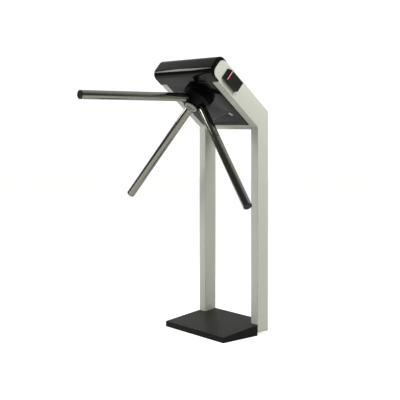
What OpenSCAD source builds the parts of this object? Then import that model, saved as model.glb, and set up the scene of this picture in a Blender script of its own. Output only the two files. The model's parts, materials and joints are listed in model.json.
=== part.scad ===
// Visitor counter turnstile: two bent side frames on a floor base carry a sloping
// head, and a three-armed rotor turns on the head's face. Millimetres, +Z up.
// X runs along the walking direction, -Y points into the passage.
// The origin is on the floor at the middle of the base.

/* [Base] */
// Width of the base, and over both side frames
base_w = 340; // [326:1:410]
// Depth of the base from its passage edge to the rear
base_d = 228; // [214:1:270]
// Height of the base cover at its passage edge
cover_front_h = 22; // [20:1:30]
// Height of the base cover at the rear
cover_rear_h = 48; // [44:1:60]
// Sheet thickness of the base cover
cover_wall = 3; // [2:0.5:4]
// Thickness of the floor plate
plate_t = 8; // [6:1:10]
// Step back of the floor plate from the rear faces of the legs
plate_inset = 12; // [10:1:16]
// Height of the leg ends above the floor
leg_lift = 12; // [10:1:14]
// Radius of an anchor hole in the floor plate
anchor_r = 7; // [5:0.5:8]
// Distance between anchor holes along X
anchor_dx = 210; // [180:5:210]
// Distance between anchor holes along Y
anchor_dy = 150; // [120:5:160]
// Radius of the supply cable's hole in the floor plate
cable_r = 16; // [10:1:20]

/* [Side frames] */
// Thickness of a side frame along X
frame_t = 37; // [35:1:41]
// Depth of a leg along Y
leg_d = 55; // [52:1:66]
// Sheet thickness of a side frame
frame_wall = 2.5; // [2:0.5:3]
// Height of the inner elbow, where the leg turns into the head
elbow_z = 785; // [650:5:900]
// Slope of the head above the horizontal, in degrees
slope = 40; // [38:0.5:42]
// Depth of the sloping head, square to its face
band = 81; // [80:0.5:84]
// Length of the side frame's sloping edge, elbow to tip
head_len = 299; // [294:1:306]
// Height of the crossbar that closes the head's lower end
bar_h = 9; // [8:1:14]

/* [Tripod] */
// Distance of the rotor axis from the elbow, along the slope
hub_s = 190.5; // [186:0.5:194]
// Outside radius of an arm tube
arm_r = 16; // [13:0.5:16.5]
// Wall of an arm tube
arm_wall = 2; // [1.5:0.5:3]
// Length of an arm from the rotor axis to its tip
arm_len = 522; // [420:2:540]
// Radius of the drum and of the rotor's back edge
drum_r = 57.5; // [57:0.5:60]
// Height of the drum above the head's face
drum_h = 17; // [16.5:0.5:17.5]
// Radius of the rotor's nose around the cap
nose_r = 30.5; // [30.5:0.5:33]
// Radius of the round metal cap
cap_r = 25.5; // [23:0.5:26]
// Radius of the rotor shaft
shaft_r = 15; // [12.5:0.5:15]

/* [Drive and locking] */
// Tooth size of the gear pair
gear_m = 2; // [2:0.05:2.1]
// Teeth on the rotor gear
wheel_teeth = 60; // [60:3:60]
// Teeth on the motor pinion
pinion_teeth = 20; // [20:1:20]
// Radius of the gearmotor body
motor_r = 29; // [24:1:30]
// Radius of the locking disc
disc_r = 42; // [40:0.5:43]
// Swing of a locking pawl from free to engaged, in degrees
pawl_swing = 6.5; // [5:0.5:7]

/* [Readers] */
// Length of a reader along the slope
reader_len = 81; // [70:1:90]
// Width of a reader across the head
reader_w = 43; // [36:1:48]
// Thickness of a reader off the side frame
reader_t = 18; // [12:1:24]
// Width of a reader's light strip
strip_w = 3.5; // [2.5:0.5:5]

/* [Hidden] */
$fn = 64;
gap = 0.5;           // clearance between fixed neighbours
run = 0.05;          // radial clearance of a turning or sliding fit
seat = 0.02;         // radial clearance of a fixed seat
sn = sin(slope);
cs = cos(slope);
inner_x = base_w / 2 - frame_t;            // inside face of a side frame
leg_y0 = base_d / 2 - leg_d;               // leg's passage-side face
leg_y1 = base_d / 2;                       // leg's rear face
outer_elbow_z = elbow_z + (band - leg_d * sn) / cs;
plate_x = inner_x;                         // half width of the floor plate
plate_y0 = -base_d / 2 + cover_wall + 3;
plate_y1 = leg_y1 - plate_inset;
lug_y0 = leg_y0 + 4;                       // lug that carries a leg, on the floor plate
lug_t = 10;
lug_h = 34;
bolt_z = 22;                               // leg bolts' height
face_t = 2;                                // front cover sheet
head_top = head_len - hub_s;               // head's tip, measured from the rotor axis
lip_y = head_top - 41;                     // where the front cover widens over the frames
lip_t = 4;                                 // depth of the nose over the frames
tip_r = 26.5;                              // corner radius of the side frames' tips
tip_y = head_top - tip_r;                  // centre line of those corners
tip_d = [lip_t + tip_r, band - tip_r];     // their depths in from the face
tilt = 90 - slope;                         // arm angle from the rotor axis
root_z = drum_h - 4.4;                     // where the arm axes meet on the rotor axis
arm_in = 32;                               // arm's inner end from that point
cap_t = 3.5;                               // arm end cap thickness
rotor_z = drum_h + 1;                      // rotor's back face
nose_z = rotor_z + 44;                     // rotor's front face
chassis_z = -14;
chassis_t = 5;
deck_z = chassis_z + chassis_t;            // chassis plate's front face
brg_r = 27.5;                              // bearing outside radius
brg_w = 13;
tube_r = 36;                               // drum's rear extension
tube_z = -42;
wheel_r = gear_m * wheel_teeth / 2;
pinion_r = gear_m * pinion_teeth / 2;
mesh = wheel_r + pinion_r + 0.1;           // centre distance of the gear pair
motor_a = 35;                              // direction of the motor from the axis
motor_xy = [mesh * cos(motor_a), mesh * sin(motor_a)];
wheel_z = tube_z - 8;
disc_z = wheel_z - 8;
disc_t = 4;
code_z = disc_z - 6;
notches = 12;                              // one every 30 degrees round the disc
notch_a = -60;                             // right pawl's notch direction
pawl_row = disc_r + 12.8;                  // pawl centre line's distance from the axis
pawl_reach = 60;                           // pawl pivot to tooth
pawl_tail = 14;                            // tooth to plunger pin
pin_r = 4;
sol_r0 = pawl_row + 22;                    // solenoid's near end from the axis
sol_len = 38;
sol_w = 26;
lock_xy = [90, -110];
board = [72, 66, 1.6];
board_xy = [-122, 3];
board_z = -24;
rear_lip = 84;

// ---- places and shared shapes ----

// a point of the head in the Y-Z plane: s up the slope from the elbow, d in from the face
function head_pt(s, d) = [leg_y0 - s * cs + d * sn, elbow_z + s * sn + d * cs];

// puts children in the rotor's space: z out of the head's face, y up the slope
module hub_space() {
    p = head_pt(hub_s, 0);
    translate([0, p[0], p[1]]) rotate([180 - slope, 0, 0]) children();
}

// extrudes an outline drawn in Y and Z over the width w, from x0 along X
module along_x(x0, w) {
    translate([x0, 0, 0]) rotate([90, 0, 90]) linear_extrude(w) children();
}

// a straight round bar between two heights
module bar(r, z0, z1) {
    translate([0, 0, z0]) cylinder(r = r, h = z1 - z0);
}

// a ring between two heights
module ring(r0, r1, z0, z1) {
    difference() {
        bar(r1, z0, z1);
        bar(r0, z0 - 1, z1 + 1);
    }
}

// a block given by its corner and size, with the height range kept explicit
module block(x, y, z0, z1) {
    translate([x[0], y[0], z0]) cube([x[1] - x[0], y[1] - y[0], z1 - z0]);
}

// a socket screw standing on z = 0: head above, shank below
module screw(r, len, head_r, head_h) {
    difference() {
        union() {
            bar(head_r, 0, head_h);
            bar(r, -len, 0.01);
        }
        translate([0, 0, head_h * 0.4]) cylinder(r = r * 0.6, h = head_h, $fn = 6);
    }
}

// copies children to the four corners of a rectangle
module corners(dx, dy) {
    for (x = [-dx / 2, dx / 2], y = [-dy / 2, dy / 2]) {
        translate([x, y, 0]) children();
    }
}

// one arm direction in the rotor's space: z runs out along arm number k
module on_arm(k) {
    rotate([0, 0, 120 * k]) translate([0, 0, root_z]) rotate([-tilt, 0, 0]) children();
}

// a straight-flanked gear outline with a tooth on the +X axis
module gear_outline(teeth, m, play) {
    rp = m * teeth / 2;
    ra = rp + m;
    rf = rp - 1.25 * m;
    half = PI * m / 4 - play / 2;
    at = (half - m * tan(20)) / ra * 180 / PI;
    af = (half + 1.25 * m * tan(20)) / rf * 180 / PI;
    pitch = 360 / teeth;
    polygon([for (i = [0 : teeth - 1]) for (p = [[rf, -af], [ra, -at], [ra, at], [rf, af]])
        p[0] * [cos(i * pitch + p[1]), sin(i * pitch + p[1])]]);
}

// ---- side frames ----

// outline of a side frame, drawn smaller by g all round except at the foot;
// under the nose its tip turns in short flats
function frame_outline(g) = concat(
    [[leg_y0 + g, leg_lift], [leg_y0 + g, elbow_z + g * (1 / cs - sn / cs)],
        head_pt(hub_s + lip_y - g, g), head_pt(hub_s + lip_y - g, lip_t + g)],
    [for (a = [0 : 18 : 90]) head_pt(hub_s + tip_y + (tip_r - g) * sin(a),
        tip_d[0] - (tip_r - g) * cos(a))],
    [for (a = [0 : 18 : 90]) head_pt(hub_s + tip_y + (tip_r - g) * cos(a),
        tip_d[1] + (tip_r - g) * sin(a))],
    [[leg_y1 - g, outer_elbow_z - g * (1 / cs - sn / cs)], [leg_y1 - g, leg_lift]]);

module side_frame(x0) {
    difference() {
        along_x(x0, frame_t) polygon(frame_outline(0));
        translate([0, 0, -0.01]) along_x(x0 + frame_wall, frame_t - 2 * frame_wall)
            polygon(frame_outline(frame_wall));
        at_leg_bolts() bar(4 + gap / 2, -lug_t - frame_wall - 0.05, 1);
    }
}

module left_frame() {
    color([0.86, 0.87, 0.84]) side_frame(-base_w / 2);
}

module right_frame() {
    color([0.86, 0.87, 0.84]) side_frame(inner_x);
}

module crossbar() {
    foot = elbow_z - bar_h;
    color([0.86, 0.87, 0.84]) difference() {
        along_x(-inner_x, 2 * inner_x) polygon([[leg_y0, foot], [leg_y0, elbow_z],
            head_pt(14, 0), head_pt(14, 3), [leg_y0 + 6, elbow_z + 3], [leg_y1, elbow_z + 3],
            [leg_y1, foot]]);
        block([-inner_x + 3, inner_x - 3], [leg_y0 + 3, leg_y1 - 3], foot + 3, elbow_z);
    }
}

// ---- base ----

// a lug stands at each side of the plate and is bolted to the leg beside it
module floor_plate() {
    color([0.35, 0.36, 0.37]) difference() {
        union() {
            block([-plate_x, plate_x], [plate_y0, plate_y1], 0, plate_t);
            for (sx = [-1, 1]) translate([sx * (plate_x - lug_t / 2), 0, 0])
                block([-lug_t / 2, lug_t / 2], [lug_y0, plate_y1], 0, lug_h);
        }
        corners(anchor_dx, anchor_dy) bar(anchor_r, -1, plate_t + 1);
        bar(cable_r, -1, plate_t + 1);
        at_leg_bolts() bar(4 + gap / 2, -lug_t - 1, 1);
    }
}

// the two bolt places at each leg: z runs inward from the lug's inner face
module at_leg_bolts() {
    for (sx = [-1, 1], dy = [-12.5, 12.5]) {
        translate([sx * (inner_x - lug_t), (lug_y0 + plate_y1) / 2 + dy, bolt_z])
            rotate([0, -90 * sx, 0]) children();
    }
}

module leg_spigots() {
    hx = frame_t / 2 - frame_wall - 0.1;
    color([0.5, 0.51, 0.52]) difference() {
        for (sx = [-1, 1]) difference() {
            translate([sx * (base_w / 2 - frame_t / 2), 0, 0])
                block([-hx, hx], [leg_y0 + frame_wall + 0.1, leg_y1 - frame_wall - 0.1],
                    leg_lift, leg_lift + 60);
            translate([sx * (base_w / 2 - frame_t / 2), (lug_y0 + plate_y1) / 2, 0])
                bar(6, 0, leg_lift + 61);
        }
        at_leg_bolts() bar(4 + seat, -31, -lug_t);
    }
}

module spigot_bolts() {
    color([0.3, 0.3, 0.32]) at_leg_bolts() screw(4, 30, 6.5, 8);
}

// the base cover's side outline, smaller by g at the top, front and rear
function cover_outline(g, z0) = [
    [-base_d / 2 + g, z0], [-base_d / 2 + g, cover_front_h - g * 1.05],
    [base_d / 2 - g, cover_rear_h - g * 1.05], [base_d / 2 - g, z0]];

module base_cover() {
    notch = frame_t + gap;
    color([0.06, 0.06, 0.06]) difference() {
        along_x(-base_w / 2, base_w) polygon(cover_outline(0, 1));
        difference() {
            along_x(-base_w / 2 + cover_wall, base_w - 2 * cover_wall)
                polygon(cover_outline(cover_wall, 0));
            for (sx = [-1, 1]) block(
                sx < 0 ? [-base_w / 2 - 1, -base_w / 2 + notch + cover_wall]
                    : [base_w / 2 - notch - cover_wall, base_w / 2 + 1],
                [leg_y0 - gap - cover_wall, leg_y1 + 1], 0, cover_rear_h + 1);
        }
        for (sx = [-1, 1]) block(
            sx < 0 ? [-base_w / 2 - 1, -base_w / 2 + notch] : [base_w / 2 - notch, base_w / 2 + 1],
            [leg_y0 - gap, leg_y1 + 1], 0, cover_rear_h + 1);
        block([-plate_x - gap, plate_x + gap], [plate_y0 - gap, plate_y1 + gap], 0, plate_t + gap);
        for (sx = [-1, 1]) translate([sx * (inner_x - lug_t / 2), 0, 0])
            block([-lug_t / 2 - gap, lug_t / 2 + gap], [lug_y0 - gap, plate_y1 + gap],
                0, lug_h + gap);
        for (x = [-80, 80]) translate([x, base_d / 2, 24]) rotate([-90, 0, 0]) bar(2.6, -5, 5);
    }
}

module base_cover_screws() {
    color([0.1, 0.1, 0.1]) for (x = [-80, 80])
        translate([x, base_d / 2, 24]) rotate([-90, 0, 0]) screw(2.5, 9, 5, 2.5);
}

module cable_gland() {
    color([0.12, 0.12, 0.12]) difference() {
        union() {
            bar(cable_r - 0.3, 1, plate_t);
            bar(cable_r + 4, plate_t, plate_t + 3);
        }
        bar(cable_r - 6, 0, plate_t + 9);
    }
}

// ---- head covers ----

// outside of the nose in the rotor's space, as an outline in y and z
module nose_outline() {
    r = 28;
    y = head_top - 10.5;
    zs = [face_t - r, r - band - 3];
    for (z = zs) translate([y, z]) circle(r = r);
    polygon([[lip_y, face_t], [y, face_t], [y + r, zs[0]], [y + r, zs[1]], [y, -band - 3],
        [rear_lip, -band - 3], [rear_lip, -band + 5], [lip_y, -lip_t - 5]]);
}

// everything inside the nose, in the same plane
module nose_hollow() {
    r = tip_r + gap;
    for (d = tip_d) translate([tip_y, -d]) circle(r = r);
    polygon([[lip_y - 1, -lip_t + gap], [tip_y, -lip_t + gap], [tip_y + r, -tip_d[0]],
        [tip_y + r, -tip_d[1]], [tip_y, -band - gap], [lip_y - 1, -band - gap]]);
}

module front_cover() {
    low = 13 - hub_s;
    color([0.05, 0.05, 0.05]) hub_space() difference() {
        union() {
            rotate([90, 0, 90]) translate([0, 0, -base_w / 2]) linear_extrude(base_w)
                difference() {
                    nose_outline();
                    nose_hollow();
                }
            block([-inner_x + gap, inner_x - gap], [low, lip_y + 2], 0, face_t);
            for (sx = [-1, 1]) translate([sx * (inner_x - gap - 1), 0, 0])
                block([-1, 1], [low + 4, lip_y], deck_z, 0.01);
        }
        bar(drum_r + 1, -20, 10);
        translate([lock_xy[0], lock_xy[1], 0]) bar(8.2, -20, 10);
    }
}

module back_cover() {
    t = 2;
    z0 = elbow_z + 3 + gap;
    turn = (1 / cs - sn / cs) * t;
    color([0.05, 0.05, 0.05]) difference() {
        along_x(-inner_x + gap, 2 * (inner_x - gap)) polygon([[leg_y1 - t, z0],
            [leg_y1 - t, outer_elbow_z - turn], head_pt(hub_s + rear_lip - 1, band - t),
            head_pt(hub_s + rear_lip - 1, band), [leg_y1, outer_elbow_z], [leg_y1, z0]]);
        hub_space() for (sx = [-1, 1], y = [-120, 50])
            translate([sx * (inner_x - 8), y, -band]) bar(2.3, -5, 5);
    }
}

module back_cover_screws() {
    color([0.12, 0.12, 0.12]) hub_space() for (sx = [-1, 1], y = [-120, 50])
        translate([sx * (inner_x - 8), y, -band]) rotate([180, 0, 0]) screw(2.2, 8, 4.2, 2.2);
}

// ---- chassis ----

module chassis_plate() {
    color([0.55, 0.56, 0.57]) hub_space() difference() {
        block([-inner_x + 3, inner_x - 3], [-128, 74], chassis_z, deck_z);
        bar(tube_r + gap / 2, -20, 0);
        translate([motor_xy[0], motor_xy[1], 0]) bar(10, -20, 0);
        translate([lock_xy[0], lock_xy[1], 0]) bar(15, -20, 0);
        at_drum_screws() bar(3.2, -20, 0);
        at_chassis_screws() bar(2.7, -20, 0);
        translate([motor_xy[0], motor_xy[1], 0]) at_motor_screws() bar(2.2, -20, 0);
        for (sx = [-1, 1]) translate([sx * 100, -62, 0]) bar(9, -20, 0);
    }
}

module at_drum_screws() {
    for (i = [0 : 5]) {
        rotate([0, 0, 60 * i + 15]) translate([46, 0, 0]) children();
    }
}

module at_chassis_screws() {
    for (sx = [-1, 1], y = [-60, 44]) {
        translate([sx * (inner_x - 14), y, 0]) children();
    }
}

module chassis_brackets() {
    color([0.6, 0.61, 0.62]) hub_space() for (sx = [-1, 1]) difference() {
        mirror([sx < 0 ? 1 : 0, 0, 0]) union() {
            block([inner_x - 26, inner_x], [-78, 62], chassis_z - 3, chassis_z);
            block([inner_x - 3, inner_x], [-78, 62], chassis_z - 24, chassis_z - 2.9);
        }
        at_chassis_screws() bar(2.7, -30, 0);
        for (y = [-40, 24]) translate([0, y, chassis_z - 14]) rotate([0, 90, 0])
            bar(3.2, -base_w, base_w);
    }
}

module chassis_screws() {
    color([0.25, 0.25, 0.27]) hub_space() {
        at_chassis_screws() translate([0, 0, deck_z]) screw(2.5, 12, 4.6, 3);
        for (sx = [-1, 1], y = [-40, 24]) translate([sx * (inner_x - 3), y, chassis_z - 14])
            rotate([0, -90 * sx, 0]) screw(3, 2.9, 5, 3.4);
    }
}

// ---- drum, bearings and rotor ----

module drum_housing() {
    color([0.04, 0.04, 0.04]) hub_space() difference() {
        union() {
            bar(drum_r, deck_z, drum_h);
            bar(tube_r, tube_z, deck_z + 0.01);
        }
        bar(brg_r - 2.5, tube_z - 1, drum_h + 1);
        bar(brg_r + seat, drum_h - brg_w - 2, drum_h + 1);
        bar(brg_r + seat, tube_z - 1, tube_z + brg_w);
        at_drum_screws() bar(3 + seat, deck_z - 1, deck_z + 14);
    }
}

module drum_screws() {
    color([0.25, 0.25, 0.27]) hub_space() at_drum_screws()
        translate([0, 0, chassis_z]) rotate([180, 0, 0]) screw(3, 16, 5, 5);
}

// the two bearing places, at each bearing's lower face
module at_bearings() {
    for (z = [drum_h - brg_w - 2, tube_z]) {
        translate([0, 0, z]) children();
    }
}

ball_r = 3.9;
race = (brg_r + shaft_r) / 2;

module groove() {
    rotate_extrude() translate([race, brg_w / 2]) circle(r = ball_r + 0.15);
}

module bearing_outer_rings() {
    color([0.7, 0.71, 0.72]) hub_space() at_bearings() difference() {
        ring(race + 2.2, brg_r, 0, brg_w);
        groove();
    }
}

module bearing_inner_rings() {
    color([0.7, 0.71, 0.72]) hub_space() at_bearings() difference() {
        ring(shaft_r + seat, race - 2.2, 0, brg_w);
        groove();
    }
}

module bearing_balls() {
    color([0.75, 0.76, 0.77]) hub_space() at_bearings() for (i = [0 : 8])
        rotate([0, 0, 40 * i]) translate([race, 0, brg_w / 2]) sphere(r = ball_r);
}

module rotor_shaft() {
    color([0.6, 0.61, 0.62]) hub_space() difference() {
        union() {
            bar(shaft_r, code_z - 6, rotor_z + 10);
            bar(shaft_r + 2, tube_z + brg_w + 0.1, drum_h - brg_w - 2.1);
        }
        bar(6, rotor_z - 14, rotor_z + 11);
    }
}

module rotor_hub() {
    color([0.05, 0.05, 0.05]) hub_space() difference() {
        rotate_extrude() polygon([[0, drum_h - 1.9], [shaft_r + 4, drum_h - 1.9],
            [shaft_r + 4, rotor_z], [drum_r - 1, rotor_z], [drum_r, rotor_z + 1],
            [drum_r, rotor_z + 4], [drum_r - 1, rotor_z + 6.2], [nose_r + 0.6, nose_z - 6],
            [nose_r, nose_z - 5], [nose_r, nose_z - 0.8], [nose_r - 0.8, nose_z], [0, nose_z]]);
        bar(shaft_r + seat, 0, rotor_z + 10);
        bar(6.2, 0, nose_z);
        bar(11.5, nose_z - 18, nose_z + 1);
        bar(cap_r + seat, nose_z - 4, nose_z + 1);
        for (k = [0 : 2]) {
            on_arm(k) bar(arm_r + seat, arm_in, 120);
            at_set_screw(k) bar(3 + seat, -30, 2);
        }
    }
}

// a set screw's mouth on the rotor's rim, square to arm k
module at_set_screw(k) {
    rotate([0, 0, 120 * k]) translate([0, drum_r - 1, rotor_z + 5.5]) rotate([-90, 0, 0])
        children();
}

module arm_set_screws() {
    color([0.2, 0.2, 0.22]) hub_space() for (k = [0 : 2]) intersection() {
        at_set_screw(k) difference() {
            bar(3, -30, -2);
            translate([0, 0, -5]) cylinder(r = 1.6, h = 5, $fn = 6);
        }
        difference() {
            bar(drum_r, 0, nose_z);
            on_arm(k) bar(arm_r + seat + 0.1, 0, 120);
        }
    }
}

module hub_bolt() {
    z0 = nose_z - 18;
    color([0.65, 0.66, 0.67]) hub_space() difference() {
        union() {
            translate([0, 0, z0]) cylinder(r = 9.8, h = 8, $fn = 6);
            bar(5.9, rotor_z - 12, z0 + 0.01);
        }
        bar(3, z0 + 5, z0 + 9);
    }
}

module hub_cap() {
    color([0.6, 0.62, 0.63]) hub_space() difference() {
        rotate_extrude() polygon([[0, nose_z - 4], [cap_r, nose_z - 4], [cap_r, nose_z + 0.6],
            [cap_r - 1, nose_z + 1.6], [15.5, nose_z + 1.6], [15, nose_z + 1.2],
            [15, nose_z - 1], [0, nose_z - 1]]);
        ring(12, 12.8, nose_z - 1.6, nose_z);
    }
}

module arm(k) {
    color([0.55, 0.55, 0.52]) hub_space() on_arm(k)
        ring(arm_r - arm_wall, arm_r, arm_in, arm_len - cap_t);
}

module arm_front() {
    arm(0);
}

module arm_left() {
    arm(1);
}

module arm_right() {
    arm(2);
}

module arm_end_caps() {
    color([0.08, 0.08, 0.08]) hub_space() for (k = [0 : 2]) on_arm(k) rotate_extrude()
        polygon([[0, arm_len - 18], [arm_r - arm_wall - seat, arm_len - 18],
            [arm_r - arm_wall - seat, arm_len - cap_t], [arm_r, arm_len - cap_t],
            [arm_r, arm_len - 1.2], [arm_r - 1.2, arm_len], [0, arm_len]]);
}

// ---- drive ----

module rotor_gear() {
    color([0.6, 0.6, 0.58]) hub_space() difference() {
        union() {
            translate([0, 0, wheel_z]) rotate([0, 0, motor_a]) linear_extrude(6)
                gear_outline(wheel_teeth, gear_m, 0.4);
            bar(20, wheel_z, tube_z);
        }
        bar(shaft_r + seat, wheel_z - 1, tube_z + 1);
        for (i = [0 : 5]) rotate([0, 0, 60 * i]) translate([38, 0, 0])
            bar(11, wheel_z - 1, wheel_z + 7);
    }
}

module motor_pinion() {
    color([0.72, 0.6, 0.3]) hub_space() translate([motor_xy[0], motor_xy[1], 0]) difference() {
        translate([0, 0, wheel_z - 1]) rotate([0, 0, motor_a + 180 - 180 / pinion_teeth])
            linear_extrude(8) gear_outline(pinion_teeth, gear_m, 0.4);
        bar(5 + run, wheel_z - 2, wheel_z + 8);
    }
}

module gearmotor() {
    color([0.2, 0.2, 0.21]) hub_space() translate([motor_xy[0], motor_xy[1], 0]) difference() {
        union() {
            bar(motor_r, tube_z + 3, chassis_z - 3);
            bar(motor_r - 4, chassis_z - 3.01, chassis_z);
            bar(5, wheel_z - 2, tube_z + 3.01);
            bar(9.9, chassis_z - 0.01, deck_z - 1);
        }
        at_motor_screws() bar(2 + seat, chassis_z - 12, chassis_z + 0.01);
    }
}

module at_motor_screws() {
    for (i = [0 : 3]) {
        rotate([0, 0, 90 * i + motor_a]) translate([18, 0, 0]) children();
    }
}

module motor_screws() {
    color([0.25, 0.25, 0.27]) hub_space() translate([motor_xy[0], motor_xy[1], 0])
        at_motor_screws() translate([0, 0, deck_z]) screw(2, 14, 3.6, 3);
}

module locking_disc() {
    color([0.55, 0.56, 0.58]) hub_space() difference() {
        union() {
            bar(disc_r, disc_z, disc_z + disc_t);
            bar(20, disc_z, wheel_z);
        }
        bar(shaft_r + seat, disc_z - 1, wheel_z + 1);
        for (i = [0 : notches - 1]) rotate([0, 0, notch_a + 360 / notches * i])
            block([disc_r - 8, disc_r + 4], [-5.5, 5.5], disc_z - 1, disc_z + disc_t + 1);
    }
}

module code_disc() {
    color([0.12, 0.12, 0.13]) hub_space() difference() {
        union() {
            bar(36, code_z, code_z + 2);
            bar(20, code_z, disc_z);
        }
        bar(shaft_r + seat, code_z - 1, disc_z + 1);
        for (i = [0 : 11]) rotate([0, 0, 30 * i]) translate([31, 0, 0]) bar(3, code_z - 1, code_z + 3);
    }
}

module shaft_nut() {
    color([0.4, 0.4, 0.42]) hub_space() difference() {
        translate([0, 0, code_z - 6]) cylinder(r = 22, h = 6, $fn = 6);
        bar(shaft_r + seat, code_z - 7, code_z + 1);
    }
}

module position_sensor() {
    color([0.1, 0.1, 0.1]) hub_space() rotate([0, 0, 118]) difference() {
        union() {
            block([27, 52], [-7, 7], code_z - 6, disc_z - 0.8);
            block([52, 70], [-7, 7], code_z - 6, code_z - 2);
            block([66, 70], [-7, 7], code_z - 6, chassis_z);
        }
        block([20, 38], [-8, 8], code_z - 1.2, code_z + 3.2);
    }
}

// ---- locking ----

// a pawl's place: x runs from the pivot to the tooth, y points away from the rotor axis
module at_pawl(side) {
    mirror([side < 0 ? 1 : 0, 0, 0]) rotate([0, 0, notch_a])
        translate([pawl_row, pawl_reach, 0]) rotate([0, 0, -90]) children();
}

module pawl(side) {
    color([0.62, 0.6, 0.55]) hub_space() at_pawl(side) difference() {
        union() {
            bar(9, disc_z - 1, disc_z + disc_t + 1);
            block([0, pawl_reach + pawl_tail + 6], [-4.5, 4.5], disc_z, disc_z + disc_t);
            block([pawl_reach - 2, pawl_reach + 5], [-11.6, 0], disc_z, disc_z + disc_t);
        }
        bar(pin_r + run, disc_z - 2, disc_z + disc_t + 2);
        block([pawl_reach + pawl_tail - 3, pawl_reach + pawl_tail + 3], [-2.15, 2.15],
            disc_z - 1, disc_z + disc_t + 1);
    }
}

module left_pawl() {
    pawl(-1);
}

module right_pawl() {
    pawl(1);
}

module pawl_pins() {
    color([0.7, 0.71, 0.72]) hub_space() for (side = [-1, 1]) at_pawl(side) {
        bar(pin_r, disc_z - 3, chassis_z);
        bar(pin_r + 3, disc_z + disc_t + 1.3, disc_z + disc_t + 3.3);
        ring(pin_r + 0.02, pin_r + 3, disc_z - 2.6, disc_z - 1.3);
    }
}

module pawl_springs() {
    color([0.68, 0.69, 0.7]) hub_space() for (side = [-1, 1]) at_pawl(side)
        for (i = [0 : 4]) translate([0, 0, disc_z + disc_t + 5 + 1.6 * i])
            rotate_extrude() translate([pin_r + 2, 0]) circle(r = 0.9, $fn = 24);
}

module plunger(side) {
    x = pawl_reach + pawl_tail;
    mid = disc_z + disc_t / 2;
    color([0.7, 0.71, 0.72]) hub_space() at_pawl(side) {
        difference() {
            block([x - 5, x + 5], [-5, 14], mid - 4.5, mid + 4.5);
            block([x - 6, x + 6], [-9, 7.5], mid - 2.4, mid + 2.4);
        }
        translate([x, 0, mid]) rotate([-90, 0, 0]) bar(4, 13.9, 40);
        translate([x, 0, 0]) bar(2, mid - 4.5, mid + 4.5);
    }
}

module left_plunger() {
    plunger(-1);
}

module right_plunger() {
    plunger(1);
}

module solenoids() {
    x = pawl_reach + pawl_tail;
    mid = disc_z + disc_t / 2;
    off = sol_r0 - pawl_row;
    color([0.15, 0.15, 0.16]) hub_space() for (side = [-1, 1]) at_pawl(side) difference() {
        block([x - sol_w / 2, x + sol_w / 2], [off, off + sol_len], mid - 11, mid + 11);
        translate([x, 0, mid]) rotate([-90, 0, 0]) bar(4 + run, 0, 60);
    }
}

module solenoid_brackets() {
    x = pawl_reach + pawl_tail;
    mid = disc_z + disc_t / 2;
    off = sol_r0 - pawl_row;
    color([0.6, 0.61, 0.62]) hub_space() for (side = [-1, 1]) at_pawl(side) {
        block([x - 12, x + 12], [off + 4, off + 34], mid + 11, mid + 13);
        block([x - 12, x + 12], [off + 32, off + 34], mid + 12.9, chassis_z);
        block([x - 12, x + 12], [off + 4, off + 6], mid + 12.9, chassis_z);
    }
}

// ---- electronics ----

module control_board() {
    color([0.05, 0.28, 0.16]) hub_space() translate([board_xy[0], board_xy[1], 0]) difference() {
        union() {
            block([0, board[0]], [0, board[1]], board_z, board_z + board[2]);
            for (i = [0 : 2]) block([8 + 18 * i, 20 + 18 * i], [10, 22], board_z - 2, board_z + 0.01);
            block([10, 26], [36, 52], board_z - 3, board_z + 0.01);
        }
        at_standoffs() bar(1.6, board_z - 1, board_z + 4);
    }
}

module at_standoffs() {
    for (x = [26, board[0] - 6], y = [5, board[1] - 6]) {
        translate([x, y, 0]) children();
    }
}

module board_standoffs() {
    color([0.72, 0.6, 0.3]) hub_space() translate([board_xy[0], board_xy[1], 0]) at_standoffs() {
        translate([0, 0, board_z + board[2]])
            cylinder(r = 3, h = chassis_z - board_z - board[2], $fn = 6);
        bar(1.5, board_z - 1, board_z + board[2] + 0.01);
        bar(2.8, board_z - 2.6, board_z - 0.02);
    }
}

module terminal_block() {
    color([0.1, 0.35, 0.15]) hub_space() translate([board_xy[0], board_xy[1], 0]) difference() {
        block([32, 62], [38, 48], board_z - 9, board_z);
        for (i = [0 : 5]) translate([34.5 + 5 * i, 43, 0]) bar(1.5, board_z - 10, board_z - 4);
    }
}

module power_supply() {
    color([0.7, 0.71, 0.72]) hub_space() difference() {
        block([-124, -72], [-124, -80], chassis_z - 30, chassis_z);
        for (i = [0 : 5]) block([-118, -78], [-119 + 6 * i, -116 + 6 * i],
            chassis_z - 31, chassis_z - 28);
    }
}

// ---- key lock ----

module lock_barrel() {
    color([0.7, 0.7, 0.68]) hub_space() translate([lock_xy[0], lock_xy[1], 0])
        rotate_extrude() polygon([[6 + run, -22], [8, -22], [8, face_t], [9.8, face_t],
            [9.8, face_t + 1.2], [8.8, face_t + 2.2], [6 + run, face_t + 2.2]]);
}

module lock_nut() {
    color([0.6, 0.6, 0.58]) hub_space() translate([lock_xy[0], lock_xy[1], 0]) difference() {
        translate([0, 0, -4]) cylinder(r = 12, h = 4, $fn = 6);
        bar(8 + seat, -5, 1);
    }
}

module lock_plug() {
    color([0.75, 0.75, 0.73]) hub_space() translate([lock_xy[0], lock_xy[1], 0]) difference() {
        union() {
            bar(6, -22.4, face_t + 1.6);
            block([-3, 3], [-3, 3], -26.6, -22.3);
        }
        block([-0.8, 0.8], [-3.8, 3.8], -14, face_t + 2);
    }
}

module lock_cam() {
    color([0.6, 0.6, 0.58]) hub_space() translate([lock_xy[0], lock_xy[1], 0]) difference() {
        union() {
            bar(7.5, -25.4, -22.6);
            block([-5, 5], [0, 27], -25.4, -22.6);
        }
        block([-3.02, 3.02], [-3.02, 3.02], -26, -22);
    }
}

// ---- readers ----

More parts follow.
